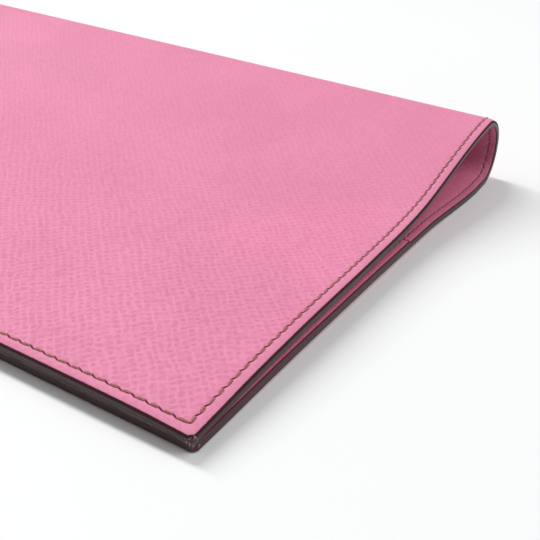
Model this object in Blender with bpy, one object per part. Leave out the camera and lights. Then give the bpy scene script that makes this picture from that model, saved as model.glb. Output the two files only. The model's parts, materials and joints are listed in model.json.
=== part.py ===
"""A stitched leather passport cover, closed and lying on its back cover, with a relaxed round fold.

Frame, in metres: +X runs from the opening side (the fore-edge) to the fold, +Y along the fold, +Z up.
The origin is in the middle of the closed cover's footprint, on the surface it lies on.

The leather is a chain of flat segments joined along hinge lines that are parallel to Y: back cover,
five spine strips, a flexing strip of the front cover, and the front cover. Each segment has its own
frame: "along" runs away from the back cover's fore-edge, y runs along the fold, and "level" is the
depth below the outer face of the leather, so the hinge lines lie at one level inside the sheet.
"""

import math

import bmesh
import bpy
from mathutils import Matrix

MM = 0.001

# The cover's overall sizes.
HEIGHT = 142.0 * MM  # along the fold
BACK_LENGTH = 101.0 * MM  # fore-edge to the first hinge line
FLEX_LENGTH = 36.6 * MM  # between the spine and the front sleeve's mouth
FRONT_LENGTH = 63.2 * MM  # front sleeve's mouth to the fore-edge
SPINE_STRIP = 3.35 * MM
SPINE_BENDS = tuple(math.radians(a) for a in (40, 35, 25, 30, 30, 31))
SLEEVE_LENGTH = 62.4 * MM
CORNER_RADIUS = 1.6 * MM
COVER_GAP = 0.06 * MM  # between the two sleeves at the fore-edge

# The layers, as (level of the upper side, level of the lower side) below the outer face.
OUTER = (0.0, 0.60 * MM)
INTERLINING = (0.63 * MM, 0.83 * MM)
LINING = (0.86 * MM, 1.36 * MM)
SLEEVE = (1.39 * MM, 1.77 * MM)
HINGE_LEVEL = 0.73 * MM
EDGE_COAT = (0.04 * MM, 1.32 * MM)
SLEEVE_COAT = (1.41 * MM, 1.75 * MM)

# Edge coat, seams and clearances.
COAT = 0.20 * MM
FIT = 0.03 * MM  # between a panel and the coat round it
END_GAP = 0.05 * MM  # from a segment's end to its hinge line
INTERLINING_INSET = 3.2 * MM
SEAM_INSET = 1.6 * MM
SLEEVE_SEAM_INSET = SEAM_INSET + 0.1 * MM
SEAM_CORNER_RADIUS = 0.7 * MM
GROOVE_WIDTH = 0.62 * MM
GROOVE_DEPTH = 0.28 * MM
SLEEVE_GROOVE_DEPTH = 0.19 * MM
THREAD_WIDTH = 0.46 * MM
THREAD_SIDES = 8
THREAD_SUNK = 0.03 * MM  # below the face of the leather
THREAD_CLEARANCE = 0.03 * MM  # above the bottom of the groove
MOUTH_CORNER = 0.3 * MM  # radius of a sleeve's corners at its mouth, inside the edge coat
CORNER_STEPS = 4
CUT_PAST = 1.0 * MM  # how far a groove's cutter runs past the leather

HALF = HEIGHT / 2
SEGMENTS = ("back", "spine_1", "spine_2", "spine_3", "spine_4", "spine_5", "flex", "front")
LENGTHS = (BACK_LENGTH, *[SPINE_STRIP] * 5, FLEX_LENGTH, FRONT_LENGTH)

MATERIALS = {
    "outer_leather": ((0.846, 0.286, 0.442), 0.58),
    "lining_leather": ((0.730, 0.200, 0.330), 0.62),
    "edge_paint": ((0.052, 0.038, 0.036), 0.34),
    "thread": ((0.300, 0.165, 0.105), 0.70),
    "interlining": ((0.700, 0.650, 0.560), 0.90),
}


def clear_scene():
    for obj in list(bpy.data.objects):
        bpy.data.objects.remove(obj)


def make_material(name):
    colour, roughness = MATERIALS[name]
    material = bpy.data.materials.new(name)
    material.use_nodes = True
    shader = material.node_tree.nodes["Principled BSDF"]
    shader.inputs["Base Color"].default_value = (*colour, 1.0)
    shader.inputs["Roughness"].default_value = roughness
    shader.inputs["Metallic"].default_value = 0.0
    material.diffuse_color = (*colour, 1.0)
    return material


def retract(level, bend):
    """How far a segment's end stays back from its hinge line at a level, to be clear of its neighbour."""
    return END_GAP + max(0.0, (level - HINGE_LEVEL) * math.tan(bend / 2))


class Segment:
    """One rigid length of the folded sheet. Its frame's origin is on the hinge line that it turns on.

    `bends` are the turns at its start and its end, and None is a free end, the fore-edge.
    """

    def __init__(self, frame, length, bends):
        self.frame = frame
        self.length = length
        self.bends = bends

    def reach(self, along, level):
        """The distance along, drawn back from a hinge line at either end of the segment."""
        start, end = self.bends
        if start is not None and along <= 0.0:
            return retract(level, start)
        if end is not None and along >= self.length:
            return self.length - retract(level, end)
        return along

    def place(self, name, bm, material):
        bmesh.ops.recalc_face_normals(bm, faces=bm.faces)
        mesh = bpy.data.meshes.new(name)
        bm.to_mesh(mesh)
        bm.free()
        mesh.materials.append(material)
        obj = bpy.data.objects.new(name, mesh)
        bpy.context.scene.collection.objects.link(obj)
        obj.parent = self.frame
        return obj

    def plate(self, name, outline, levels, material):
        """A flat piece with an outline of (along, y) points. Each entry of levels is one ring of points."""
        bm = bmesh.new()
        rings = [
            [bm.verts.new((self.reach(a, level), y, level - HINGE_LEVEL)) for a, y in outline]
            for level in levels
        ]
        bm.faces.new(rings[0])
        bm.faces.new(rings[-1])
        for low, high in zip(rings, rings[1:]):
            skin(bm, low, high)
        return self.place(name, bm, material)

    def sweep(self, name, path, section, material, closed=False):
        """A bar along a path of (along, y, outward normal), with a section of (inward offset, level) points."""
        bm = bmesh.new()
        rings = []
        for a, y, out_a, out_y in path:
            ring = []
            for offset, level in section:
                at = a if out_a == 0.0 else a - offset * out_a
                ring.append(bm.verts.new((self.reach(at, level), y - offset * out_y, level - HINGE_LEVEL)))
            rings.append(ring)
        for one, other in zip(rings, rings[1:]):
            skin(bm, one, other)
        if closed:
            skin(bm, rings[-1], rings[0])
        else:
            bm.faces.new(rings[0])
            bm.faces.new(rings[-1])
        return self.place(name, bm, material)

    def grooved_plate(self, name, half_width, seam_at, material):
        """A length of outer leather with a straight seam groove near each side."""
        low, high = OUTER
        notch = GROOVE_WIDTH / 2
        side = [
            (half_width, high),
            (half_width, low),
            (seam_at + notch, low),
            (seam_at + notch, low + GROOVE_DEPTH),
            (seam_at - notch, low + GROOVE_DEPTH),
            (seam_at - notch, low),
        ]
        profile = side + [(-y, level) for y, level in reversed(side)]
        bm = bmesh.new()
        ends = [
            [bm.verts.new((self.reach(a, low), y, level - HINGE_LEVEL)) for y, level in profile]
            for a in (0.0, self.length)
        ]
        for ring in ends:
            bm.faces.new(ring)
        skin(bm, *ends)
        return self.place(name, bm, material)


def skin(bm, one, other):
    """Quads between two closed rings of points."""
    count = len(one)
    for i in range(count):
        j = (i + 1) % count
        bm.faces.new((one[i], one[j], other[j], other[i]))


def corner(centre_a, centre_y, radius, start, turn):
    """Points round a corner, each with its outward normal, from the angle start through turn."""
    points = []
    for step in range(CORNER_STEPS + 1):
        angle = start + turn * step / CORNER_STEPS
        out_a, out_y = math.cos(angle), math.sin(angle)
        points.append((centre_a + radius * out_a, centre_y + radius * out_y, out_a, out_y))
    return points


def cover_path(length, inset, radius, fore_at_start):
    """Three sides of a cover, from the hinge line round the fore-edge and back, at an inset."""
    y = HALF - inset
    right = math.pi / 2
    near = corner(inset + radius, radius - y, radius, -right, -right)
    far = corner(inset + radius, y - radius, radius, 2 * right, -right)
    path = [(length, -y, 0.0, -1.0), *near, *far, (length, y, 0.0, 1.0)]
    if fore_at_start:
        return path
    return [(length - a, y_at, -out_a, out_y) for a, y_at, out_a, out_y in path]


def outline_of(path):
    return [(a, y) for a, y, _, _ in path]


def sleeve_path(length, inset, radius, mouth_radius):
    """All four sides of a sleeve whose fore-edge is at 0 and whose mouth is at length."""
    y = HALF - inset
    right = math.pi / 2
    return [
        *corner(inset + radius, radius - y, radius, -right, -right),
        *corner(inset + radius, y - radius, radius, 2 * right, -right),
        *corner(length - inset - mouth_radius, y - mouth_radius, mouth_radius, right, -right),
        *corner(length - inset - mouth_radius, mouth_radius - y, mouth_radius, 0.0, -right),
    ]


def turned(path, length):
    """The path with its fore-edge at the segment's far end."""
    return [(length - a, y, -out_a, out_y) for a, y, out_a, out_y in path]


def bar_section(width, levels):
    """A rectangle from the edge inwards, with extra points at any middle levels."""
    return [(0.0, level) for level in levels] + [(width, level) for level in reversed(levels)]


def thread_section(top, bottom):
    """A flattened round as wide as the thread, with flats on its four sides, centred on its path."""
    half_step = math.pi / THREAD_SIDES
    across = THREAD_WIDTH / 2 / math.cos(half_step)
    rise = (bottom - top) / 2 / math.cos(half_step)
    angles = [half_step * (2 * step + 1) for step in range(THREAD_SIDES)]
    return [(across * math.cos(a), (top + bottom) / 2 + rise * math.sin(a)) for a in angles]


def cut(obj, cutter):
    """Takes the cutter's shape out of the object, and hides the cutter."""
    modifier = obj.modifiers.new("groove", "BOOLEAN")
    modifier.operation = "DIFFERENCE"
    modifier.solver = "EXACT"
    modifier.object = cutter
    cutter.hide_render = True
    cutter.display_type = "WIRE"


def groove_section(top, bottom):
    half = GROOVE_WIDTH / 2
    return [(-half, top), (half, top), (half, bottom), (-half, bottom)]


def lengthened(path, by):
    """The path with its two free ends pulled out along the segment, past the hinge line."""
    start, end = path[0], path[-1]
    direction = math.copysign(by, start[0] - path[1][0])
    return [(start[0] + direction, *start[1:]), *path[1:-1], (end[0] + direction, *end[1:])]


def build_cover(segment, side, materials):
    """The stack of one cover: outer leather, interlining, lining, sleeve, painted edges and seams."""
    fore_at_start = side == "back"
    length = segment.length
    inset = COAT + FIT
    radius = CORNER_RADIUS

    def path(at, corner_radius):
        return cover_path(length, at, corner_radius, fore_at_start)

    panel = outline_of(path(inset, radius - inset))
    outer = segment.plate(f"{side}_outer_leather", panel, OUTER, materials["outer_leather"])
    segment.plate(f"{side}_lining", panel, LINING, materials["lining_leather"])
    fore, hinge = INTERLINING_INSET, length - INTERLINING_INSET
    width = HALF - INTERLINING_INSET
    middle = [(fore, -width), (hinge, -width), (hinge, width), (fore, width)]
    segment.plate(f"{side}_interlining", middle, INTERLINING, materials["interlining"])
    coat = bar_section(COAT, (EDGE_COAT[0], HINGE_LEVEL, EDGE_COAT[1]))
    segment.sweep(f"{side}_edge_coat", path(0.0, radius), coat, materials["edge_paint"])

    seam = path(SEAM_INSET, SEAM_CORNER_RADIUS)
    bottom = OUTER[0] + GROOVE_DEPTH
    groove = segment.sweep(
        f"{side}_outer_groove_cutter",
        lengthened(seam, CUT_PAST),
        groove_section(OUTER[0] - CUT_PAST, bottom),
        materials["thread"],
    )
    cut(outer, groove)
    thread = thread_section(OUTER[0] + THREAD_SUNK, bottom - THREAD_CLEARANCE)
    segment.sweep(f"{side}_seam_outside", seam, thread, materials["thread"])

    build_sleeve(segment, side, materials)


def build_sleeve(segment, side, materials):
    """The pocket panel that takes one cover of the passport, open towards the fold."""
    inset = COAT + FIT
    mouth_radius = inset + MOUTH_CORNER
    edge = sleeve_path(SLEEVE_LENGTH, 0.0, CORNER_RADIUS, mouth_radius)
    panel = sleeve_path(SLEEVE_LENGTH, inset, CORNER_RADIUS - inset, mouth_radius - inset)
    seam = sleeve_seam_path()
    if side == "front":
        edge, panel, seam = (turned(p, segment.length) for p in (edge, panel, seam))
    sleeve = segment.plate(f"{side}_sleeve", outline_of(panel), SLEEVE, materials["lining_leather"])
    coat = bar_section(COAT, SLEEVE_COAT)
    segment.sweep(f"{side}_sleeve_edge_coat", edge, coat, materials["edge_paint"], closed=True)
    floor = SLEEVE[1] - SLEEVE_GROOVE_DEPTH
    groove = segment.sweep(
        f"{side}_sleeve_groove_cutter",
        lengthened(seam, CUT_PAST),
        groove_section(floor, SLEEVE[1] + CUT_PAST),
        materials["thread"],
    )
    cut(sleeve, groove)
    thread = thread_section(floor + THREAD_CLEARANCE, SLEEVE[1] - THREAD_SUNK)
    segment.sweep(f"{side}_seam_inside", seam, thread, materials["thread"])


def sleeve_seam_path():
    """The seam on a sleeve's face: three sides, ending just short of the mouth's painted edge."""
    end = SLEEVE_LENGTH - COAT - 2 * FIT
    return cover_path(end, SLEEVE_SEAM_INSET, SEAM_CORNER_RADIUS, True)


def build_strip(segment, name, materials):
    """A length of the sheet with a hinge line at both ends: two layers, painted edges and seams."""
    length = segment.length
    width = HALF - COAT - FIT
    seam_at = HALF - SEAM_INSET
    segment.grooved_plate(f"{name}_outer_leather", width, seam_at, materials["outer_leather"])
    sheet = [(0.0, -width), (length, -width), (length, width), (0.0, width)]
    segment.plate(f"{name}_lining", sheet, LINING, materials["lining_leather"])
    levels = (EDGE_COAT[0], HINGE_LEVEL, EDGE_COAT[1])
    thread = thread_section(OUTER[0] + THREAD_SUNK, OUTER[0] + GROOVE_DEPTH - THREAD_CLEARANCE)
    for end, sign in (("near", -1.0), ("far", 1.0)):
        inner, outer = sign * (HALF - COAT), sign * HALF
        bar = [(0.0, inner), (length, inner), (length, outer), (0.0, outer)]
        segment.plate(f"{name}_edge_coat_{end}", bar, levels, materials["edge_paint"])
        seam = [(0.0, sign * seam_at, 0.0, sign), (length, sign * seam_at, 0.0, sign)]
        segment.sweep(f"{name}_seam_{end}", seam, thread, materials["thread"])


def hinge_line(bends, lengths):
    """Where each segment starts, as (x, z, heading) from the back cover's fore-edge, and the last one's end."""
    x, z, heading = 0.0, 0.0, 0.0
    points = [(x, z, heading)]
    for bend, length in zip((*bends, 0.0), lengths):
        x += length * math.cos(heading)
        z += length * math.sin(heading)
        heading += bend
        points.append((x, z, heading))
    return points


def front_bend():
    """The turn from the flexing strip to the front cover that rests the front sleeve on the back one."""
    _, height, heading = hinge_line(SPINE_BENDS, LENGTHS[:-1])[-1]
    fore_height = 2 * (SLEEVE[1] - HINGE_LEVEL) + COVER_GAP
    return math.pi - heading + math.asin((height - fore_height) / FRONT_LENGTH)


def footprint_middle(bends):
    """The middle of the closed cover along X, measured from the back cover's fore-edge."""
    points = hinge_line(bends, LENGTHS)
    fold = 0.0
    for (x, _, heading), length in zip(points[1:-2], LENGTHS[1:-1]):
        for end in (END_GAP, length - END_GAP):
            fold = max(fold, x + end * math.cos(heading) + HINGE_LEVEL * math.sin(heading))
    front_x, _, heading = points[-1]
    fore = front_x + (HINGE_LEVEL - EDGE_COAT[0]) * math.sin(heading)
    return (fold + fore) / 2


def chain_frames():
    """Empties on the hinge lines, each the parent of the next: {segment name: its Segment}."""
    bends = (*SPINE_BENDS, front_bend())
    turns = (None, *bends, None)
    segments, parent = {}, None
    for i, name in enumerate(SEGMENTS):
        frame = bpy.data.objects.new(f"{name}_frame", None)
        bpy.context.scene.collection.objects.link(frame)
        if parent is None:
            frame.location = (-footprint_middle(bends), 0.0, HINGE_LEVEL)
        else:
            frame.parent = parent
            frame.location = (LENGTHS[i - 1], 0.0, 0.0)
            frame.rotation_euler = Matrix.Rotation(-turns[i], 3, "Y").to_euler()
        segments[name] = Segment(frame, LENGTHS[i], (turns[i], turns[i + 1]))
        parent = frame
    return segments


def main():
    clear_scene()
    materials = {name: make_material(name) for name in MATERIALS}
    segments = chain_frames()
    for name, segment in segments.items():
        if name in ("back", "front"):
            build_cover(segment, name, materials)
        else:
            build_strip(segment, name, materials)


main()
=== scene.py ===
import json
import math

import bmesh
import bpy
import numpy as np
from mathutils import Matrix, Vector


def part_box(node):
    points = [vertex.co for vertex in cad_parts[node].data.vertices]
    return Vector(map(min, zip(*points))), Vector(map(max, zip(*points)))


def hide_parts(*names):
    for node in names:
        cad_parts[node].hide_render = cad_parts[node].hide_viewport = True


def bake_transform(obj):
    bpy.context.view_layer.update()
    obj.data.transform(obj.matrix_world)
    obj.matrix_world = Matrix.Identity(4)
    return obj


# A closed bifold passport cover: outer leather, lining, sleeves, interlinings, painted edges and stitches.
#
# Everything about the sheet is in millimetres, in its own coordinates: s runs along the developed sheet
# from the back cover's fore-edge, y along the fold, and n is the depth below the outer face. An inset is
# the distance from the sheet's nearest edge. Sheet.place() turns s, y and n into metres in the frame.
MM = 0.001

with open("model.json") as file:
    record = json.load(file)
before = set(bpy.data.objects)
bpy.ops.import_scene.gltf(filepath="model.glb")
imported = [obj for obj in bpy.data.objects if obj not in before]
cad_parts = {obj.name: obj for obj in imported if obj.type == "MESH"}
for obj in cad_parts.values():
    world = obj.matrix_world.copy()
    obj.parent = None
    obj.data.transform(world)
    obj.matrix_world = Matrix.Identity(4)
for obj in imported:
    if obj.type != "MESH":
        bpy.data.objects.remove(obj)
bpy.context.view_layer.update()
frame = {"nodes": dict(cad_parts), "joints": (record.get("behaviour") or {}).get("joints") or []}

# The depths of each layer's two faces, and of the hinges' axes.
OUTER = (0.0, 0.60)
INTERLINING = (0.63, 0.83)
LINING = (0.86, 1.36)
SLEEVE = (1.39, 1.77)
HINGE_LEVEL = 0.73

CORNER_RADIUS = 0.95
CORNER_STEPS = 8
SEAM = 1.6  # inset of the stitches
INNER_RING = 3.0  # inset at which a panel's rim ends and its field begins
BOARD_INSET = 3.2  # how far the interlinings stay inside the edges and the hinges
MOUTH = 62.4  # where the sleeves end, from their fore-edges
MOUTH_GAP = 0.2  # how far a sleeve's leather stops short of its painted mouth
MOUTH_INSET = 0.22  # inset of that mouth's two ends
MOUTH_RAMP = 0.35  # the length over which the painted edge steps down beside a mouth

# The panels' rims: (inset, depth) from the field's outer face round the edge to its inner face. The seam
# lies in a shallow groove, on the outer leather's outer face and on the other panels' inner face.
OUTER_RIM = [
    (3.0, 0.0), (2.4, 0.0), (2.05, 0.015), (1.88, 0.045), (1.74, 0.085), (1.6, 0.10), (1.46, 0.085),
    (1.3, 0.045), (1.1, 0.012), (0.8, 0.0), (0.42, 0.004), (0.29, 0.025), (0.20, 0.07), (0.155, 0.14),
    (0.15, 0.26), (0.15, 0.60), (3.0, 0.60),
]
LINING_RIM = [
    (3.0, 0.86), (0.21, 0.86), (0.21, 1.22), (0.24, 1.29), (0.34, 1.335), (0.5, 1.355), (0.8, 1.36),
    (1.3, 1.345), (1.46, 1.315), (1.6, 1.30), (1.74, 1.315), (1.9, 1.345), (2.3, 1.36), (3.0, 1.36),
]
SLEEVE_RIM = [
    (3.0, 1.39), (0.21, 1.39), (0.21, 1.62), (0.24, 1.69), (0.34, 1.74), (0.5, 1.765), (0.8, 1.77),
    (1.3, 1.76), (1.46, 1.735), (1.6, 1.72), (1.74, 1.735), (1.9, 1.76), (2.3, 1.77), (3.0, 1.77),
]
# The coat of paint on a cut edge: (inset, depth) from its lip over the outer face to its bulge. The same
# again, mirrored, leads to its other lip. Its back is (inset, how far it stays inside both faces).
COAT_HALF = [
    (0.24, 0.075), (0.20, 0.048), (0.14, 0.055), (0.075, 0.10), (0.03, 0.19), (0.006, 0.33), (0.0, 0.52),
]
COAT_BACK = (0.14, 0.16)
# The coat of paint on a sleeve's mouth: (distance past the mouth, depth) round its closed loop.
MOUTH_SECTION = [
    (-0.22, 1.40), (-0.04, 1.41), (0.0, 1.47), (0.02, 1.58), (0.0, 1.69), (-0.05, 1.755),
    (-0.14, 1.785), (-0.26, 1.785), (-0.34, 1.772), (-0.22, 1.76),
]

SIDE_STITCH = 1.92  # about the stitches' pitch along the sides
FORE_STITCH = 2.14  # and along the fore-edges
THREAD_HALF_WIDTH = 0.220
THREAD_HALF_HEIGHT = 0.17
UNDER_SIZE = 0.78  # the inside's stitches, as a share of the outside's
STITCH_GAP = 0.27  # from a hole's middle to where the thread comes up
CORNER_GAP = 0.3  # the same at the seam's corners, as a share of it
STITCH_SLANT = 0.12  # how far a stitch drifts to either side of the seam
STITCH_SUNK = 0.20  # how deep a stitch's ends lie below the leather
STITCH_ARCH = 0.27  # how much higher its middle lies than its ends
STITCH_TIP = 0.62  # its size at the ends, as a share of that in the middle
STITCH_RINGS = 9
STITCH_AROUND = 8

# How far the covers stand outside (or inside, if negative) their straight lines, as used leather does:
# (s, offset). The back cover arches off the table, and the front one swells before it meets the fold.
SWELLING = [
    (-5.0, 0.0), (4.0, 0.0), (10.0, -0.22), (16.0, -0.42), (24.0, -0.6), (36.0, -0.7), (48.0, -0.78),
    (60.0, -0.7), (70.0, -0.63), (77.0, -0.47), (83.0, -0.2), (88.0, 0.0), (100.5, 0.0), (103.0, 0.18),
    (105.0, 0.33), (107.5, 0.2), (111.0, 0.1), (115.0, 0.2), (119.0, 0.6), (123.0, 0.8), (127.0, 0.76),
    (130.0, 0.65), (133.0, 0.5), (136.0, 0.3), (139.0, 0.12), (142.0, -0.12), (146.0, -0.32),
    (150.0, -0.45), (155.0, -0.37), (161.0, -0.3), (168.0, -0.2), (173.0, -0.18), (177.0, -0.05),
    (184.0, 0.12), (190.0, 0.24), (200.0, 0.23), (204.0, 0.18), (208.0, 0.0), (212.0, -0.2),
    (215.0, -0.32), (222.6, -0.45),
]
SWELLING_REACH = 2.6  # over which the swelling is smoothed
# The fold's ends stand a little past the covers' sides: (s, distance).
SPREAD = [
    (-5.0, 0.0), (74.0, 0.0), (86.0, 0.5), (93.0, 0.75), (99.0, 0.5), (105.0, 0.18), (118.0, 0.08),
    (130.0, 0.0), (222.6, 0.0),
]
SPREAD_REACH = 3.0
# The front cover's fore-edge lies higher between its corners: by how much, from which s, over what length,
# and how sharply it comes down towards the corners.
FORE_EDGE_RISE = 0.62
RISE_FROM, RISE_OVER = 168.0, 44.0
RISE_POWER = 12
# Outside the seam the stack is pressed thinner, from its outer face: by how much on the back cover and on
# the front one, the s between which the one turns into the other, and then the inset at which it starts,
# the width over which it grows and the power of its curve.
RIM_PRESSED = (0.05, 0.28)
PRESSED_TURN = (100.0, 125.0)
PRESSED_FROM, PRESSED_OVER, PRESSED_POWER = 1.45, 1.25, 1.4

OVERRUN = 5.0  # how far the sheet's curve goes on past both of its ends
CURVE_STEP = 0.05
ARC_STEP = 0.01  # as a share of an arc
FLEX_TANGENT = 9.0  # half the length over which the front cover's flexing strip bends

# The meshes' steps, along s and then along y.
FINE = 0.06  # a short first step at a piece's end, so that its shading meets the next piece's
FOLD_STEP, FLEX_STEP, FLAT_STEP = 0.21, 1.5, 4.0
BACK_STEP, FRONT_STEP = 5.0, 3.0  # between a cover's rim and its bend
BEFORE_FOLD = 0.6  # one step between the back cover's flat part and the fold
SLEEVE_STEP = 3.0
FIELD_STEP = 5.5
COAT_STEP = 4.0
MOUTH_STEP = 6.0
BOARD_STEP = 8.0

rng = np.random.default_rng(7)


def eased(t):
    """t, from 0 to 1, with a smooth start and stop."""
    return t * t * (3 - 2 * t)


# ---------------------------------------------------------------- the folded sheet

class Sheet:
    """The fold's curve through the frame's hinge lines, and the sheet laid along it."""

    def __init__(self):
        joints = frame["joints"]
        corners = [(j["pos_m"][0] / MM, j["pos_m"][2] / MM) for j in joints]
        self.turns = [math.radians(j["range_deg"][1]) * j["axis"][1] for j in joints]
        back_low, back_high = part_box("back_edge_coat")
        front_low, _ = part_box("front_edge_coat")
        self.half = back_high.y / MM
        heading = float(sum(self.turns))
        last = corners[-1]
        start = (back_low.x / MM, corners[0][1])
        reach = (last[0] - front_low.x / MM) / -math.cos(heading)
        end = (last[0] + reach * math.cos(heading), last[1] + reach * math.sin(heading))
        self.points = [start, *corners, end]
        lengths = [math.dist(a, b) for a, b in zip(self.points, self.points[1:])]
        self.at = np.concatenate([[0.0], np.cumsum(lengths)])
        self.length = float(self.at[-1])
        self.hinges = [float(s) for s in self.at[1:-1]]
        self.tangents = [lengths[1] / 2] * (len(joints) - 1) + [FLEX_TANGENT]
        self.make_curve()

    def make_curve(self):
        """Straight lines joined by arcs, with the swelling and the spread laid over them."""
        s_all, x_all, z_all = [], [], []

        def straight(s0, s1, point, s_point, direction):
            for s in np.arange(s0, s1, 2 * CURVE_STEP):
                s_all.append(s)
                x_all.append(point[0] + (s - s_point) * math.cos(direction))
                z_all.append(point[1] + (s - s_point) * math.sin(direction))

        heading = 0.0
        s_from = -OVERRUN
        for i, (turn, tangent) in enumerate(zip(self.turns, self.tangents)):
            corner, s_corner = self.points[i + 1], self.at[i + 1]
            straight(s_from, s_corner - tangent, corner, s_corner, heading)
            radius = tangent / math.tan(abs(turn) / 2)
            side = math.copysign(1.0, turn)
            x0 = corner[0] - tangent * math.cos(heading)
            z0 = corner[1] - tangent * math.sin(heading)
            for t in np.arange(0.0, 1.0, ARC_STEP):
                angle = abs(turn) * t
                ahead, aside = radius * math.sin(angle), radius * (1 - math.cos(angle)) * side
                s_all.append(s_corner - tangent + 2 * tangent * t)
                x_all.append(x0 + ahead * math.cos(heading) - aside * math.sin(heading))
                z_all.append(z0 + ahead * math.sin(heading) + aside * math.cos(heading))
            heading += turn
            s_from = s_corner + tangent
        straight(s_from, self.length + OVERRUN, self.points[-1], self.at[-1], heading)

        self.s = np.arange(s_all[0], s_all[-1], CURVE_STEP)
        x, z = np.interp(self.s, s_all, x_all), np.interp(self.s, s_all, z_all)
        heading = self.heading_of(x, z)
        offset = self.smooth(np.interp(self.s, *zip(*SWELLING)), SWELLING_REACH)
        self.x = x + offset * np.sin(heading)
        self.z = z - offset * np.cos(heading)
        self.heading = self.heading_of(self.x, self.z)
        self.wider = 1 + self.smooth(np.interp(self.s, *zip(*SPREAD)), SPREAD_REACH) / self.half

    def heading_of(self, x, z):
        return np.unwrap(np.arctan2(np.gradient(z, self.s), np.gradient(x, self.s)))

    @staticmethod
    def smooth(values, reach):
        """values, one for each step of the curve, averaged over a bell that reaches about this far."""
        bell = np.exp(-np.linspace(-2.0, 2.0, round(2 * reach / CURVE_STEP) + 1) ** 2)
        padded = np.pad(values, len(bell) // 2, mode="edge")
        return np.convolve(padded, bell / bell.sum(), mode="valid")

    def place(self, s, y, n):
        """Points of the sheet in the frame, in metres."""
        s, y, n = (np.asarray(v, float) for v in (s, y, n))
        x, z = np.interp(s, self.s, self.x), np.interp(s, self.s, self.z)
        heading = np.interp(s, self.s, self.heading)
        between_corners = 1 - np.minimum(np.abs(y) / self.half, 1.0) ** RISE_POWER
        raised = FORE_EDGE_RISE * eased(np.clip((s - RISE_FROM) / RISE_OVER, 0.0, 1.0)) * between_corners
        inset = np.minimum(self.half - np.abs(y), np.minimum(s, self.length - s))
        near_edge = np.clip((PRESSED_FROM - inset) / PRESSED_OVER, 0.0, 1.0) ** PRESSED_POWER
        near_face = np.clip(1 - n / LINING[1], 0.0, 1.0)
        pressed = np.interp(s, PRESSED_TURN, RIM_PRESSED) * near_edge * near_face
        out = HINGE_LEVEL - n + raised - pressed
        y = y * np.interp(s, self.s, self.wider)
        return np.stack([x + out * np.sin(heading), y + 0 * x, z - out * np.cos(heading)], -1) * MM


sheet = Sheet()
HALF, LENGTH = sheet.half, sheet.length
HINGE_AT = sheet.hinges
FOLD = HINGE_AT[0], HINGE_AT[5]  # the first hinge of the round fold and its last
SIDE_STITCHES = round((LENGTH - 2 * SEAM) / SIDE_STITCH)
FORE_STITCHES = round((2 * HALF - 2 * SEAM) / FORE_STITCH)
SIDE_PITCH = (LENGTH - 2 * SEAM) / SIDE_STITCHES
FORE_PITCH = (2 * HALF - 2 * SEAM) / FORE_STITCHES


# ---------------------------------------------------------------- mesh building

class Piece:
    """Vertices in sheet coordinates, each with the seam coordinates that some materials read.

    On leather these are the count of stitches along the seam and the distance inwards from it. Points
    that are given none lie well inside the seam.
    """

    def __init__(self, name):
        self.name = name
        self.points, self.seam, self.faces = [], [], []

    def add(self, s, y, n, index=0.0, off=5.0):
        self.points.append((s, y, n))
        self.seam.append((index, off))
        return len(self.points) - 1

    def face(self, *corners):
        """A face without repeated corners, if at least three are left."""
        ring = [c for i, c in enumerate(corners) if c != corners[i - 1]]
        if len(set(ring)) > 2:
            self.faces.append(tuple(ring))

    def patch(self, rows):
        """Faces between rows of as many vertices each."""
        for row, next_row in zip(rows, rows[1:]):
            for j in range(len(row) - 1):
                self.face(row[j], row[j + 1], next_row[j + 1], next_row[j])

    def tube(self, rings):
        """Faces between closed rings of as many vertices each, and a cap at both ends."""
        self.patch([[*ring, ring[0]] for ring in rings])
        self.face(*rings[0])
        self.face(*rings[-1])

    def build(self, material, sharp=50.0):
        coordinates = np.array(self.points, float)
        mesh = bpy.data.meshes.new(self.name)
        mesh.from_pydata(sheet.place(*coordinates.T).tolist(), [], self.faces)
        laid = mesh.attributes.new("sheet", "FLOAT_VECTOR", "POINT")
        laid.data.foreach_set("vector", coordinates.astype(np.float32).ravel())
        seam = np.zeros((len(self.seam), 3), np.float32)
        seam[:, :2] = self.seam
        sewn = mesh.attributes.new("seam", "FLOAT_VECTOR", "POINT")
        sewn.data.foreach_set("vector", seam.ravel())
        bm = bmesh.new()
        bm.from_mesh(mesh)
        bmesh.ops.recalc_face_normals(bm, faces=bm.faces)
        bm.to_mesh(mesh)
        bm.free()
        mesh.shade_smooth()
        mesh.set_sharp_from_angle(angle=math.radians(sharp))
        mesh.materials.append(material)
        obj = bpy.data.objects.new(self.name, mesh)
        bpy.context.scene.collection.objects.link(obj)
        return obj


def steps(*stops):
    """Values through the stops (value, step), with each stretch divided evenly at about its step."""
    values = [stops[0][0]]
    for (a, step), (b, _) in zip(stops, stops[1:]):
        count = max(1, round((b - a) / step))
        values += [a + (b - a) * i / count for i in range(1, count + 1)]
    return values


def across_sheet(inset, step):
    """The y lines from one side to the other."""
    y = HALF - inset
    return steps((-y, step), (y, step))


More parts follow.
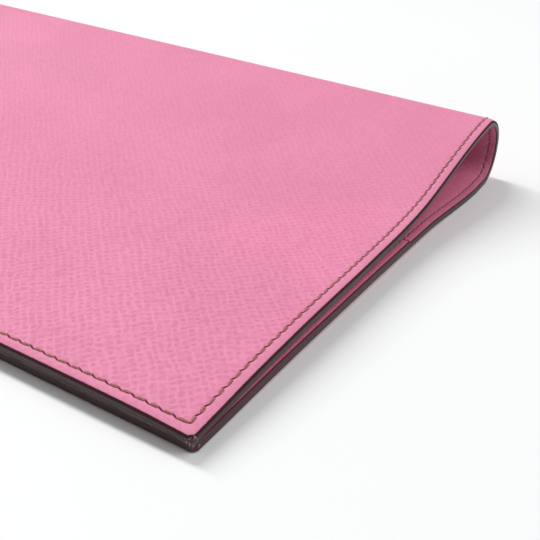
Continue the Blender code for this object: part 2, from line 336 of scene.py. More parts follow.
class Edge:
    """The open outline of a panel: one side, the fore-edge and the other side, or two sides apart.

    fore is "start" for the back cover's fore-edge, "end" for the front's, or None for a strip with neither.
    """

    def __init__(self, s_lines, y_lines, fore):
        self.fore = fore
        self.s_lines, self.y_lines = list(s_lines), list(y_lines)

    def runs(self):
        """The open paths, each a list of (kind, value) points."""
        if self.fore is None:
            return [[("near", s) for s in self.s_lines], [("far", s) for s in self.s_lines]]
        lines = self.s_lines if self.fore == "start" else self.s_lines[::-1]
        near = [("near", s) for s in lines[:0:-1]]
        far = [("far", s) for s in lines[1:]]
        turn = [i / CORNER_STEPS for i in range(CORNER_STEPS + 1)]
        first = [("near_corner", t) for t in turn]
        second = [("far_corner", t) for t in turn]
        middle = [("fore", y) for y in self.y_lines[1:-1]]
        return [near + first + middle + second + far]

    def locate(self, kind, value, inset):
        """(s, y, stitch index) of one point of the outline at an inset."""
        y_side = HALF - inset
        if kind == "near":
            return value, -y_side, -(value - SEAM) / SIDE_PITCH
        if kind == "far":
            index = (value - SEAM) / SIDE_PITCH
            if self.fore == "start":
                index += FORE_STITCHES
            if self.fore == "end":
                index -= 2 * SIDE_STITCHES + FORE_STITCHES
            return value, y_side, index
        radius = CORNER_RADIUS * (1 - inset / INNER_RING)
        centre = inset + radius
        if kind == "fore":
            along, y = inset, value
            index = self.fore_index(y)
        else:
            angle = math.pi / 2 * value
            if kind == "near_corner":
                along = centre - radius * math.sin(angle)
                y = -(HALF - centre) - radius * math.cos(angle)
                ends = self.side_index(centre, "near"), self.fore_index(centre - HALF)
            else:
                along = centre - radius * math.cos(angle)
                y = HALF - centre + radius * math.sin(angle)
                ends = self.fore_index(HALF - centre), self.side_index(centre, "far")
            index = ends[0] + (ends[1] - ends[0]) * value
        return (along if self.fore == "start" else LENGTH - along), y, index

    def side_index(self, along, side):
        s = along if self.fore == "start" else LENGTH - along
        return self.locate(side, s, SEAM)[2]

    def fore_index(self, y):
        index = (y + HALF - SEAM) / FORE_PITCH
        return index if self.fore == "start" else -SIDE_STITCHES - index

    def grid_key(self, kind, value):
        """Where the innermost ring meets the panel's field: (s line, y line)."""
        first, last = 0, len(self.y_lines) - 1
        corner = 0 if self.fore == "start" else len(self.s_lines) - 1
        if kind == "near":
            return self.s_lines.index(value), first
        if kind == "far":
            return self.s_lines.index(value), last
        if kind == "near_corner":
            return corner, first
        if kind == "far_corner":
            return corner, last
        return corner, self.y_lines.index(value)


def panel(name, s_lines, fore, rim, material):
    """A closed plate with this rim."""
    piece = Piece(name)
    edge = Edge(s_lines, across_sheet(INNER_RING, FIELD_STEP), fore)
    grids = []
    for level in (rim[0][1], rim[-1][1]):
        grids.append([[piece.add(s, y, level) for y in edge.y_lines] for s in edge.s_lines])
    for grid in grids:
        piece.patch(grid)
    rings_by_run = []
    for run in edge.runs():
        rings = []
        for k, (inset, level) in enumerate(rim):
            ring = []
            for kind, value in run:
                s, y, index = edge.locate(kind, value, inset)
                if k in (0, len(rim) - 1):
                    row, column = edge.grid_key(kind, value)
                    vertex = grids[0 if k == 0 else 1][row][column]
                    piece.seam[vertex] = (index, inset - SEAM)
                else:
                    vertex = piece.add(s, y, level, index, inset - SEAM)
                ring.append(vertex)
            rings.append(ring)
        piece.patch(rings)
        rings_by_run.append(rings)
    close_ends(piece, fore, grids, rings_by_run)
    return piece.build(material)


def close_ends(piece, fore, grids, rings_by_run):
    """Caps where a panel is cut across the sheet."""
    for row in {"start": [-1], "end": [0], None: [0, -1]}[fore]:
        piece.patch([grids[0][row], grids[1][row]])
    for rings in rings_by_run:
        for column in (0, -1):
            piece.face(*[ring[column] for ring in rings])


def coat_section(depth):
    """The painted edge's closed loop, rounded, with lips that lap a little over both faces."""
    other_half = [(inset, depth - level) for inset, level in reversed(COAT_HALF)]
    inset, level = COAT_BACK
    return [*COAT_HALF, *other_half, (inset, depth - level), (inset, level)]


def coat_depth(from_fore):
    """The painted stack's thickness: thinner by the sleeve beyond its mouth."""
    share = eased(min(1.0, max(0.0, (MOUTH - from_fore) / MOUTH_RAMP + 0.5)))
    return LINING[1] + (SLEEVE[1] - LINING[1]) * share


def with_mouth(lines):
    """The s lines, with a few more where the sleeve ends."""
    extra = []
    for mouth in (MOUTH, LENGTH - MOUTH):
        if lines[0] < mouth < lines[-1]:
            extra += [mouth + d for d in (-0.3, -0.2, -0.1, 0.0, 0.1, 0.2, 0.3)]
    return sorted(set(lines) | set(extra))


def painted_edge(name, s_lines, fore):
    """The coat of paint along a zone's outline."""
    piece = Piece(name)
    edge = Edge(with_mouth(s_lines), across_sheet(INNER_RING, COAT_STEP), fore)
    for run in edge.runs():
        rings = []
        for kind, value in run:
            from_fore = min(value, LENGTH - value) if kind in ("near", "far") else 0.0
            ring = []
            for inset, level in coat_section(coat_depth(from_fore)):
                s, y, index = edge.locate(kind, value, inset)
                ring.append(piece.add(s, y, level, index, inset - SEAM))
            rings.append(ring)
        piece.tube(rings)
    return piece.build(PAINT, sharp=60.0)


# ---------------------------------------------------------------- materials

class Nodes:
    """Short calls that add shader nodes and link them."""

    def __init__(self, name):
        self.material = bpy.data.materials.new(name)
        self.material.use_nodes = True
        self.tree = self.material.node_tree
        self.shader = self.tree.nodes["Principled BSDF"]

    def add(self, kind, *inputs, **settings):
        node = self.tree.nodes.new("ShaderNode" + kind)
        for key, value in settings.items():
            setattr(node, key, value)
        for i, value in enumerate(inputs):
            if value is not None:
                self.put(node.inputs[i], value)
        return node

    def put(self, socket, value):
        if isinstance(value, bpy.types.NodeSocket):
            self.tree.links.new(value, socket)
        else:
            socket.default_value = value

    def named(self, kind, **inputs):
        node = self.add(kind)
        for key, value in inputs.items():
            self.put(node.inputs[key], value)
        return node

    def maths(self, operation, a, b=0.0):
        return self.add("Math", a, b, operation=operation).outputs[0]

    def plus(self, a, b):
        return self.maths("ADD", a, b)

    def minus(self, a, b):
        return self.maths("SUBTRACT", a, b)

    def times(self, a, b):
        return self.maths("MULTIPLY", a, b)

    def apart(self, a, b):
        """How far two values lie from each other."""
        return self.maths("ABSOLUTE", self.minus(a, b))

    def hypotenuse(self, a, b):
        return self.maths("SQRT", self.plus(self.maths("POWER", a, 2.0), self.maths("POWER", b, 2.0)))

    def vector(self, operation, a, b):
        return self.add("VectorMath", a, b, operation=operation).outputs[0]

    def scaled(self, a, factor):
        node = self.add("VectorMath", a, operation="SCALE")
        self.put(node.inputs["Scale"], factor)
        return node.outputs[0]

    def attribute(self, name):
        return self.add("Attribute", attribute_name=name, attribute_type="GEOMETRY").outputs["Vector"]

    def split(self, vector):
        return self.add("SeparateXYZ", vector).outputs

    def flat(self, laid):
        """Sheet coordinates without the depth."""
        return self.vector("MULTIPLY", laid, (1.0, 1.0, 0.0))

    def noise(self, vector, scale, detail=2.0, roughness=0.5, colour=False):
        node = self.named("TexNoise", Vector=vector, Scale=scale, Detail=detail, Roughness=roughness)
        return node.outputs["Color" if colour else "Fac"]

    def band(self, value, low, high, out_low=0.0, out_high=1.0):
        """value taken from low..high to out_low..out_high, with a smooth start and stop."""
        node = self.add("MapRange", value, low, high, out_low, out_high, interpolation_type="SMOOTHSTEP")
        return node.outputs[0]

    def mix(self, factor, a, b, blend="MIX"):
        node = self.add("Mix", data_type="RGBA", blend_type=blend)
        self.put(node.inputs["Factor"], factor)
        self.put(node.inputs["A"], a)
        self.put(node.inputs["B"], b)
        return node.outputs["Result"]

    def bump(self, height, distance, strength):
        return self.named("Bump", Height=height, Distance=distance, Strength=strength).outputs["Normal"]

    def finish(self, **sockets):
        """The material, once the shader's sockets are set. In their names _ stands for a space."""
        for key, value in sockets.items():
            self.put(self.shader.inputs[key.replace("_", " ")], value)
        return self.material


def tint(red, green, blue):
    return (red, green, blue, 1.0)


def grain(nodes, laid, pitch, across, wander):
    """A pressed diagonal weave of long wandering ridges and shorter rungs: 1 on them, 0 in a cell."""
    warped = laid
    for scale, detail, reach in ((0.12, 1.0, 1.9), (0.95, 2.0, 1.05)):
        drift = nodes.vector("SUBTRACT", nodes.noise(laid, scale, detail, colour=True), (0.5,) * 3)
        warped = nodes.vector("ADD", warped, nodes.scaled(drift, reach * wander))
    parts = nodes.split(warped)
    ahead = nodes.times(nodes.minus(parts[1], parts[0]), math.sqrt(0.5) / pitch)
    aside = nodes.times(nodes.plus(parts[1], parts[0]), math.sqrt(0.5) / across)
    # The rungs between two ridges are shifted together, each such column by its own amount.
    column = nodes.maths("FLOOR", aside)
    shift = nodes.add("TexWhiteNoise", None, column, noise_dimensions="1D").outputs["Value"]
    shifted = nodes.plus(ahead, nodes.times(shift, 0.45))
    ridge = nodes.band(nodes.apart(nodes.maths("FRACT", aside), 0.5), 0.14, 0.49)
    rung = nodes.band(nodes.apart(nodes.maths("FRACT", shifted), 0.5), 0.10, 0.49)
    weaker = nodes.band(nodes.noise(laid, 0.8, 2.0, 0.6), 0.34, 0.56, 0.25, 1.0)
    fainter = nodes.band(nodes.noise(laid, 0.5, 1.0, 0.5), 0.35, 0.60, 0.40, 1.0)
    ridge, rung = nodes.times(ridge, fainter), nodes.times(rung, weaker)
    # The two cross as they were pressed, so a cell is what both leave, some shallower than others.
    crossed = nodes.minus(nodes.plus(ridge, rung), nodes.times(ridge, rung))
    shallow = nodes.band(nodes.noise(laid, 0.65, 2.0, 0.6), 0.40, 0.66, 0.0, 0.62)
    return nodes.maths("MAXIMUM", crossed, shallow)


def awl_cut(nodes, sewn, half_length, half_width, slant=0.0):
    """1 in the oval cuts that show between one stitch and the next, 0 round them."""
    pitch = 2.0  # between those of the sides and of the fore-edges
    from_hole = nodes.minus(nodes.maths("FRACT", nodes.plus(sewn[0], 0.5)), 0.5)
    travel = nodes.times(from_hole, pitch)
    cosine, sine = math.cos(math.radians(slant)), math.sin(math.radians(slant))
    along = nodes.minus(nodes.times(travel, cosine), nodes.times(sewn[1], sine))
    across = nodes.plus(nodes.times(travel, sine), nodes.times(sewn[1], cosine))
    along = nodes.maths("DIVIDE", along, half_length)
    across = nodes.maths("DIVIDE", across, half_width)
    return nodes.band(nodes.hypotenuse(along, across), 0.7, 1.25, 1.0, 0.0)


def fore_distance(nodes, parts):
    """How far a point lies from the nearest fore-edge."""
    return nodes.maths("MINIMUM", parts[0], nodes.minus(LENGTH, parts[0]))


def corner_distance(nodes, parts):
    """How far a point lies from the nearest corner of the sheet."""
    from_side = nodes.minus(HALF, nodes.maths("ABSOLUTE", parts[1]))
    return nodes.hypotenuse(fore_distance(nodes, parts), from_side)


def outer_leather():
    nodes = Nodes("grained_leather")
    laid = nodes.attribute("sheet")
    parts = nodes.split(laid)
    sewn = nodes.split(nodes.attribute("seam"))
    flat = nodes.flat(laid)
    ridge = grain(nodes, flat, 1.06, 1.10, 1.0)
    fine = nodes.noise(laid, 4.5, 4.0, 0.6)
    pores = nodes.noise(laid, 13.0, 2.0, 0.5)
    cloudy = nodes.noise(flat, 0.055, 2.0, 0.5)
    # The border outside the seam is pressed smoother than the field, and the fold is stretched smoother too.
    from_fold = nodes.apart(parts[0], sum(FOLD) / 2)
    across_seam = (-0.35, 0.35)
    strength = nodes.times(nodes.band(sewn[1], *across_seam, 0.34, 1.0),
                           nodes.band(from_fold, 14.0, 86.0, 0.42, 1.0))
    mean_level, border_level = 0.62, 0.78
    level = nodes.band(sewn[1], *across_seam, border_level, mean_level)
    relief = nodes.plus(nodes.times(nodes.minus(ridge, mean_level), strength), level)
    cell, crest = tint(0.660, 0.184, 0.316), tint(0.838, 0.300, 0.468)
    colour = nodes.mix(nodes.plus(nodes.times(relief, 0.64), nodes.times(fine, 0.36)), cell, crest)
    mottled = nodes.mix(nodes.band(cloudy, 0.3, 0.7), tint(0.975, 0.965, 0.97), tint(1.02, 1.02, 1.02))
    colour = nodes.mix(1.0, colour, mottled, "MULTIPLY")
    # The awl cuts are painted dark red: painted shade in holes that the mesh doesn't open.
    cut = awl_cut(nodes, sewn, 0.62, 0.140, slant=23.0)
    colour = nodes.mix(cut, colour, tint(0.125, 0.012, 0.024))
    # The corners are rubbed paler, in patches.
    worn = nodes.band(corner_distance(nodes, parts), 0.75, 1.6, 1.0, 0.0)
    patchy = nodes.band(nodes.noise(laid, 2.0, 3.0, 0.65), 0.46, 0.58)
    rubbed = nodes.times(worn, nodes.band(patchy, 0.0, 1.0, 0.30, 0.85))
    colour = nodes.mix(rubbed, colour, tint(0.60, 0.32, 0.39))
    # Paint has crept over the edge.
    from_edge = nodes.plus(sewn[1], SEAM)
    wavy = nodes.plus(from_edge, nodes.times(nodes.noise(laid, 1.4, 3.0, 0.6), -0.16))
    lip = nodes.band(wavy, 0.10, 0.22, 1.0, 0.0)
    colour = nodes.mix(nodes.times(lip, 0.92), colour, tint(0.090, 0.009, 0.018))

    height = nodes.plus(relief, nodes.plus(nodes.times(fine, 0.40), nodes.times(pores, 0.12)))
    height = nodes.minus(height, nodes.times(cut, 2.6))
    normal = nodes.bump(height, 0.035 * MM, 0.8)
    roughness = nodes.band(ridge, 0.0, 1.0, 0.66, 0.56)
    return nodes.finish(Base_Color=colour, Roughness=roughness, Normal=normal, Specular_IOR_Level=0.25)


def lining_leather():
    nodes = Nodes("lining_leather")
    laid = nodes.attribute("sheet")
    sewn = nodes.split(nodes.attribute("seam"))
    flat = nodes.flat(laid)
    ridge = grain(nodes, flat, 0.70, 0.74, 0.8)
    fine = nodes.noise(laid, 6.0, 4.0, 0.6)
    cloudy = nodes.noise(flat, 0.08, 3.0, 0.55)
    cell, crest = tint(0.560, 0.140, 0.250), tint(0.800, 0.265, 0.420)
    colour = nodes.mix(nodes.times(nodes.plus(ridge, fine), 0.5), cell, crest)
    mottled = nodes.mix(cloudy, tint(0.93, 0.92, 0.92), tint(1.05, 1.05, 1.05))
    colour = nodes.mix(1.0, colour, mottled, "MULTIPLY")
    # The awl cuts are painted dark: painted shade in holes that the mesh doesn't open.
    cut = awl_cut(nodes, sewn, 0.34, 0.13)
    colour = nodes.mix(cut, colour, tint(0.150, 0.032, 0.052))
    lip = nodes.band(nodes.plus(sewn[1], SEAM), 0.24, 0.36, 1.0, 0.0)
    colour = nodes.mix(nodes.times(lip, 0.9), colour, tint(0.110, 0.010, 0.022))

    height = nodes.plus(nodes.times(ridge, 0.5), nodes.times(fine, 0.5))
    height = nodes.minus(height, nodes.times(cut, 2.0))
    normal = nodes.bump(height, 0.05 * MM, 0.9)
    return nodes.finish(Base_Color=colour, Roughness=0.55, Normal=normal, Specular_IOR_Level=0.35)


def edge_paint():
    nodes = Nodes("painted_edge")
    laid = nodes.attribute("sheet")
    parts = nodes.split(laid)
    streaks = nodes.noise(nodes.vector("MULTIPLY", laid, (0.35, 0.35, 7.0)), 1.0, 3.0, 0.6)
    fine = nodes.noise(laid, 5.0, 3.0, 0.6)
    colour = nodes.mix(streaks, tint(0.032, 0.011, 0.012), tint(0.060, 0.027, 0.029))
    on_side = nodes.band(fore_distance(nodes, parts), 0.5, 2.0)
    waver = nodes.times(nodes.noise(laid, 0.7, 3.0, 0.6), 0.16)
    # The layers under the paint show as a fine groove. Beside it at the fore-edges runs a broken lighter
    # line, a painted highlight near where the two covers' painted edges meet.
    level = nodes.plus(parts[2], nodes.times(waver, 0.6))
    groove = nodes.band(nodes.apart(level, 1.42), 0.02, 0.07, 1.0, 0.0)
    line = nodes.band(nodes.apart(level, 1.56), 0.03, 0.13, 1.0, 0.0)
    broken = nodes.band(nodes.noise(nodes.flat(laid), 0.35, 3.0, 0.65), 0.34, 0.54)
    at_fore = nodes.minus(0.9, nodes.times(on_side, 0.8))
    line = nodes.times(nodes.times(line, broken), at_fore)
    # Painted highlight: the lighter line mixed into the paint's colour.
    colour = nodes.mix(line, colour, tint(0.125, 0.085, 0.086))
    # The leathers' own cut edges take the dye redder than the layers between them: the outer leather's,
    # most of all on the front cover, and the sleeves' along the sides.
    level = nodes.plus(parts[2], waver)
    in_front = nodes.band(parts[0], *FOLD, 0.25, 1.0)
    dyed = nodes.times(nodes.band(level, 0.50, 0.70, 1.0, 0.0), in_front)
    colour = nodes.mix(dyed, colour, tint(0.036, 0.003, 0.008))
    sleeve_edge = nodes.times(nodes.band(level, 1.60, 1.70), on_side)
    colour = nodes.mix(sleeve_edge, colour, tint(0.120, 0.008, 0.020))
    # At the rubbed corners the paint has chipped back to the leather.
    rubbed = nodes.band(corner_distance(nodes, parts), 0.4, 1.7, 1.0, 0.0)
    ragged = nodes.plus(nodes.noise(laid, 2.8, 2.0, 0.6), nodes.times(rubbed, 0.11))
    chip = nodes.times(nodes.band(rubbed, 0.05, 0.4), nodes.band(ragged, 0.645, 0.70))
    paler = nodes.band(nodes.noise(laid, 1.9, 1.0), 0.42, 0.56)
    bare = nodes.mix(paler, tint(0.24, 0.040, 0.060), tint(0.34, 0.25, 0.24))
    colour = nodes.mix(nodes.times(chip, 0.85), colour, bare)

    height = nodes.plus(nodes.times(streaks, 0.8), nodes.times(fine, 0.35))
    height = nodes.minus(height, nodes.plus(nodes.times(chip, 1.2), groove))
    normal = nodes.bump(height, 0.03 * MM, 0.6)
    matt = nodes.times(nodes.maths("MAXIMUM", dyed, sleeve_edge), 0.40)
    roughness = nodes.plus(nodes.band(fine, 0.2, 0.8, 0.34, 0.46), matt)
    return nodes.finish(Base_Color=colour, Roughness=roughness, Normal=normal, Specular_IOR_Level=0.35)


def waxed_thread(name, dark, light):
    """Twisted thread, whose seam coordinates are the place along its stitch and the angle round it."""
    nodes = Nodes(name)
    strand = nodes.split(nodes.attribute("seam"))
    laid = nodes.attribute("sheet")
    twist_length = 0.42
    phase = nodes.plus(nodes.times(strand[0], 2 * math.pi / twist_length), nodes.times(strand[1], 2.0))
    twist = nodes.maths("ABSOLUTE", nodes.maths("SINE", nodes.times(phase, 0.5)))
    tone = nodes.noise(laid, 0.9, 2.0, 0.5)
    colour = nodes.mix(twist, dark, light)
    lighter = tint(*(1.15 * c for c in light[:3]))
    colour = nodes.mix(nodes.band(tone, 0.35, 0.65, 0.0, 0.4), colour, lighter)
    normal = nodes.bump(twist, 0.05 * MM, 0.8)
    return nodes.finish(Base_Color=colour, Roughness=0.50, Normal=normal, Specular_IOR_Level=0.5)


def bonded_fibre():
    nodes = Nodes("bonded_fibre")
    laid = nodes.attribute("sheet")
    fibre = nodes.noise(nodes.vector("MULTIPLY", laid, (1.0, 4.0, 1.0)), 1.6, 4.0, 0.65)
    colour = nodes.mix(fibre, tint(0.52, 0.46, 0.38), tint(0.74, 0.69, 0.60))
    normal = nodes.bump(fibre, 0.05 * MM, 0.7)
    return nodes.finish(Base_Color=colour, Roughness=0.9, Normal=normal)


def table_surface():
    nodes = Nodes("table_surface")
    place = nodes.add("TexCoord").outputs["Object"]
    soft = nodes.noise(place, 9.0, 3.0, 0.5)
    colour = nodes.mix(soft, tint(0.885, 0.895, 0.900), tint(0.915, 0.920, 0.922))
    return nodes.finish(Base_Color=colour, Roughness=0.55, Specular_IOR_Level=0.3)


LEATHER = outer_leather()
LINED = lining_leather()
PAINT = edge_paint()
THREAD = waxed_thread("waxed_thread", tint(0.220, 0.066, 0.052), tint(0.390, 0.148, 0.118))
UNDER_THREAD = waxed_thread("waxed_under_thread", tint(0.210, 0.068, 0.066), tint(0.350, 0.135, 0.115))
FIBRE = bonded_fibre()


# ---------------------------------------------------------------- zones of the sheet

# The sheet is divided at the middle of each spine strip and of the flexing strip. Zone k runs across
# hinge k, from body k - 1 to body k.
SEGMENTS = ["back", *[f"spine_{i}" for i in range(1, 6)], "flex", "front"]
CUTS = [(a + b) / 2 for a, b in zip(HINGE_AT, HINGE_AT[1:])]
BACK_ZONE, FRONT_ZONE = 1, 7
ZONES = range(BACK_ZONE, FRONT_ZONE + 1)
FORE_EDGES = {BACK_ZONE: "start", FRONT_ZONE: "end"}


def zone_lines(k):
    """The s lines of zone k, close together where it bends."""
    hinge, tangent = HINGE_AT[k - 1], sheet.tangents[k - 1]
    low = INNER_RING if k == BACK_ZONE else CUTS[k - 2]
    high = LENGTH - INNER_RING if k == FRONT_ZONE else CUTS[k - 1]
    bend_from, bend_to = hinge - tangent, hinge + tangent
    if k == BACK_ZONE:
        stops = [(low, BACK_STEP), (bend_from - BEFORE_FOLD, BEFORE_FOLD), (bend_from, FOLD_STEP)]
    elif k == FRONT_ZONE:
        stops = [(low, FRONT_STEP), (bend_from, FLEX_STEP)]
    else:
        stops = [(low, FOLD_STEP)]
    stops.append((bend_to, FLAT_STEP))
    if high > bend_to + 0.2:  # the zone goes on flat past its bend
        stops.append((high, FLAT_STEP))
    lines = steps(*stops)
    if k > BACK_ZONE:
        lines.insert(1, low + FINE)
    if k < FRONT_ZONE:
        lines.insert(-1, high - FINE)
    return lines


def bend(obj):
    """Bakes obj's placement into its mesh and gives obj back."""
    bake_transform(obj)
    return obj


def stand_for(obj, k, *kinds):
    """Hides the CAD's nodes of these kinds on body k, and in the back zone on the back cover too. obj is not
    used.
    """
    owners = [SEGMENTS[k]] if k > BACK_ZONE else SEGMENTS[:2]
    nodes = [f"{owner}_{kind}" for owner in owners for kind in kinds]
    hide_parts(*[node for node in nodes if node in frame["nodes"]])


def make_sheet():
    """The outer leather, the lining and the painted edge of each zone."""
    for k in ZONES:
        lines, fore = zone_lines(k), FORE_EDGES.get(k)
        outer = panel(f"outer_leather_{k}", lines, fore, OUTER_RIM, LEATHER)
        bend(outer)
        stand_for(outer, k, "outer_leather")
        lining = panel(f"lining_{k}", lines, fore, LINING_RIM, LINED)
        bend(lining)
        stand_for(lining, k, "lining")
        coat = painted_edge(f"painted_edge_{k}", lines, fore)
        bend(coat)
        stand_for(coat, k, "edge_coat", "edge_coat_near", "edge_coat_far")


# ---------------------------------------------------------------- sleeves and interlinings

def from_fore_edge(k, low, high):
    """The values of s at these two distances from cover zone k's fore-edge, the smaller s first."""
    return (low, high) if k == BACK_ZONE else (LENGTH - high, LENGTH - low)


def make_sleeve(side, k):
    low, high = from_fore_edge(k, INNER_RING, MOUTH - MOUTH_GAP)
    lines = steps((low, SLEEVE_STEP), (high, SLEEVE_STEP))
    sleeve = panel(f"sleeve_{side}", lines, FORE_EDGES[k], SLEEVE_RIM, LINED)
    bend(sleeve)
    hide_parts(f"{side}_sleeve", f"{side}_sleeve_edge_coat")


def make_sleeve_mouth(side, k):
    """The coat of paint on a sleeve's open edge."""
    piece = Piece(f"sleeve_mouth_{side}")
    rings = []
    for y in across_sheet(MOUTH_INSET, MOUTH_STEP):
        ring = []
        for past, level in MOUTH_SECTION:
            from_fore = MOUTH + past
            s = from_fore if k == BACK_ZONE else LENGTH - from_fore
            ring.append(piece.add(s, y, level))
        rings.append(ring)
    piece.tube(rings)
    edge = bend(piece.build(PAINT))


def make_interlining(side, k):
    """The thin sheet between a cover's outer leather and its lining."""
    to_hinge = HINGE_AT[0] if k == BACK_ZONE else LENGTH - HINGE_AT[-1]
    low, high = from_fore_edge(k, BOARD_INSET, to_hinge - BOARD_INSET)
    s_lines = steps((low, FLAT_STEP), (high, FLAT_STEP))
    y_lines = across_sheet(BOARD_INSET, BOARD_STEP)
    board = Piece(f"interlining_{side}")
    grids = [[[board.add(s, y, n) for y in y_lines] for s in s_lines] for n in INTERLINING]
    for grid in grids:
        board.patch(grid)
    for end in (0, -1):
        board.patch([[row[end] for row in grid] for grid in grids])
        board.patch([grid[end] for grid in grids])
    fibre = bend(board.build(FIBRE))
    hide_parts(f"{side}_interlining")


def make_inner_panels():
    """The sleeves, the sleeves' painted mouths and the interlinings."""
    for side, k in (("back", BACK_ZONE), ("front", FRONT_ZONE)):
        make_sleeve(side, k)
        make_sleeve_mouth(side, k)
        make_interlining(side, k)


# ---------------------------------------------------------------- stitches

def runs_of_holes():
    """Each side of the seam as (first corner, travel, inward, holes, pitch), in sheet coordinates."""
    s0, s1, y1 = SEAM, LENGTH - SEAM, HALF - SEAM
    return [
        ((s1, -y1), (-1, 0), (0, 1), SIDE_STITCHES, SIDE_PITCH),
        ((s0, -y1), (0, 1), (1, 0), FORE_STITCHES, FORE_PITCH),
        ((s0, y1), (1, 0), (0, -1), SIDE_STITCHES, SIDE_PITCH),
        ((s1, y1), (0, -1), (-1, 0), FORE_STITCHES, FORE_PITCH),
    ]


def zone_at(s):
    return 1 + sum(s > cut for cut in CUTS)


def groove_level(rim):
    """How deep the bottom of a rim's groove lies."""
    return dict(rim)[SEAM]


def stitch(piece, start, travel, inward, pitch, level, out, ends, thick):
    """One raised length of thread between two holes.

    level is how deep the leather lies there, and out is -1 if the stitch is on the outer face and 1 if it is
    on the inner one. ends says of both its ends whether they are at a corner of the seam.
    """
    # No two stitches are quite alike.
    gap0 = STITCH_GAP * (CORNER_GAP if ends[0] else rng.uniform(0.8, 1.2))
    gap1 = STITCH_GAP * (CORNER_GAP if ends[1] else rng.uniform(0.8, 1.2))
    slant = -out * STITCH_SLANT * rng.uniform(0.75, 1.25)
    aside = rng.normal(0.0, 0.025)
    swell = rng.uniform(0.92, 1.08)
    rings = []
    for i in range(STITCH_RINGS):
        u = i / (STITCH_RINGS - 1)
        t = gap0 + (pitch - gap0 - gap1) * u
        # It drifts across the seam in a slight S, and less where it ends at a corner.
        p = aside + slant * ((2 * u - 1) + 0.25 * math.sin(2 * math.pi * u))
        if (ends[0] and u < 0.5) or (ends[1] and u > 0.5):
            p *= 0.4
        arch = math.sin(math.pi * u)
        rise = -STITCH_SUNK + STITCH_ARCH * arch ** 0.45
        size = thick * swell * (STITCH_TIP + (1 - STITCH_TIP) * arch ** 0.6)
        ring = []
        for j in range(STITCH_AROUND):
            angle = 2 * math.pi * j / STITCH_AROUND
            wide = THREAD_HALF_WIDTH * size * math.cos(angle)
            high = THREAD_HALF_HEIGHT * size * math.sin(angle)
            s = start[0] + travel[0] * t + inward[0] * (p + wide)
            y = start[1] + travel[1] * t + inward[1] * (p + wide)
            ring.append(piece.add(s, y, level + out * (rise + high), t, angle))
        rings.append(ring)
    piece.tube(rings)


def make_seams():
    """Saddle stitches on both faces, one piece for each zone and face."""
    faces = [  # name, out, size, thread, a layer's depth, the kinds of CAD node
        ("outside", -1.0, 1.0, THREAD, OUTER[1], ("seam_outside", "seam_near", "seam_far")),
        ("inside", 1.0, UNDER_SIZE, UNDER_THREAD, SLEEVE[1], ("seam_inside",)),
    ]
    for face_name, out, thick, thread, inner, kinds in faces:
        pieces = {k: Piece(f"stitches_{face_name}_{k}") for k in ZONES}
        for corner, travel, inward, count, pitch in runs_of_holes():
            for i in range(count):
                start = (corner[0] + travel[0] * pitch * i, corner[1] + travel[1] * pitch * i)
                middle = start[0] + travel[0] * pitch / 2
                inner_rim = SLEEVE_RIM if min(middle, LENGTH - middle) < MOUTH else LINING_RIM
                level = groove_level(inner_rim if out > 0 else OUTER_RIM)
                ends = (i == 0, i == count - 1)
                stitch(pieces[zone_at(middle)], start, travel, inward, pitch, level, out, ends, thick)
        for k, piece in pieces.items():
            seam = bend(piece.build(thread, sharp=80.0))
            stand_for(seam, k, *kinds)


# ---------------------------------------------------------------- table, light and camera

ROOM_COLOUR, ROOM_STRENGTH = tint(0.965, 0.985, 1.0), 0.26
LIGHT_COLOUR = (1.0, 0.995, 0.99)
LIGHTS = [  # name, place, width, height, power; the width runs as nearly as it can along the fold
    ("long_window", (0.26, 0.78, 0.90), 0.95, 0.21, 10.9),
    ("left_window", (-0.46, 0.74, 0.68), 1.10, 1.10, 1.3),
    ("front_window", (0.26, -0.62, 0.87), 0.90, 0.16, 2.9),
    ("front_fill", (0.17, -0.69, 0.84), 1.00, 1.00, 3.1),
]
ALONG_FOLD = Vector((0.0, 1.0, 0.0))
TABLE_RADIUS = 3.0

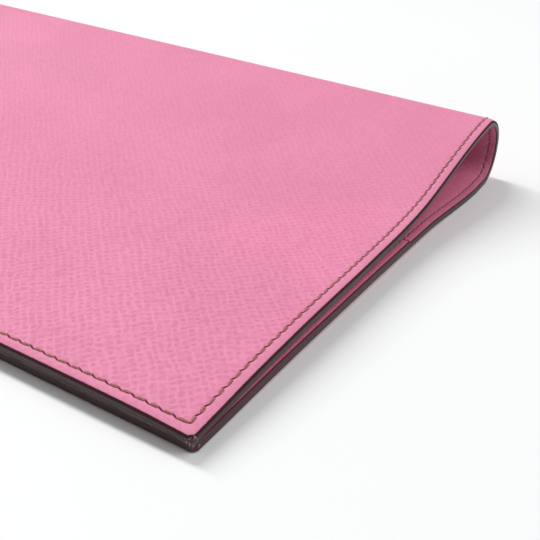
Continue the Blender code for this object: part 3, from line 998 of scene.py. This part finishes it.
CAMERA_LENS = 57.17
CAMERA_PLACE = (-0.11503, -0.11662, 0.07041)
CAMERA_RIGHT = (0.5295, -0.8469, 0.0500)
CAMERA_AHEAD = (0.7481, 0.4383, -0.4983)


def turned(place, right, up, back):
    """The matrix of an object at a place, with its own x, y and z along these three directions."""
    return Matrix.Translation(place) @ Matrix((right, up, back)).transposed().to_4x4()


def area_light(name, place, width, height, power):
    """A rectangle of light that faces the middle of the table."""
    light = bpy.data.lights.new(name, "AREA")
    light.shape = "RECTANGLE"
    light.size, light.size_y = width, height
    light.energy = power
    light.color = LIGHT_COLOUR
    obj = bpy.data.objects.new(name, light)
    back = Vector(place).normalized()
    right = back.cross(ALONG_FOLD).cross(back).normalized()
    obj.matrix_world = turned(place, right, back.cross(right), back)
    bpy.context.scene.collection.objects.link(obj)


def make_surroundings():
    """The room's light, the table and the lights."""
    scene = bpy.context.scene
    scene.view_settings.view_transform = "Standard"
    world = bpy.data.worlds.new("soft_room")
    world.use_nodes = True
    background = world.node_tree.nodes["Background"]
    background.inputs["Color"].default_value = ROOM_COLOUR
    background.inputs["Strength"].default_value = ROOM_STRENGTH
    scene.world = world

    bm = bmesh.new()
    bmesh.ops.create_circle(bm, cap_ends=True, segments=96, radius=TABLE_RADIUS)
    mesh = bpy.data.meshes.new("table")
    bm.to_mesh(mesh)
    bm.free()
    mesh.materials.append(table_surface())
    table = bpy.data.objects.new("table", mesh)
    scene.collection.objects.link(table)

    for light in LIGHTS:
        area_light(*light)


def make_camera():
    """The camera at the near corner of the opening side, low and close."""
    camera = bpy.data.cameras.new("camera")
    camera.sensor_width = 36.0
    camera.lens = CAMERA_LENS
    camera.clip_start = 0.005
    obj = bpy.data.objects.new("camera", camera)
    bpy.context.scene.collection.objects.link(obj)
    ahead = Vector(CAMERA_AHEAD).normalized()
    up = Vector(CAMERA_RIGHT).normalized().cross(ahead).normalized()
    obj.matrix_world = turned(CAMERA_PLACE, ahead.cross(up), up, -ahead)
    bpy.context.scene.camera = obj


make_sheet()
make_inner_panels()
make_seams()
make_surroundings()
make_camera()
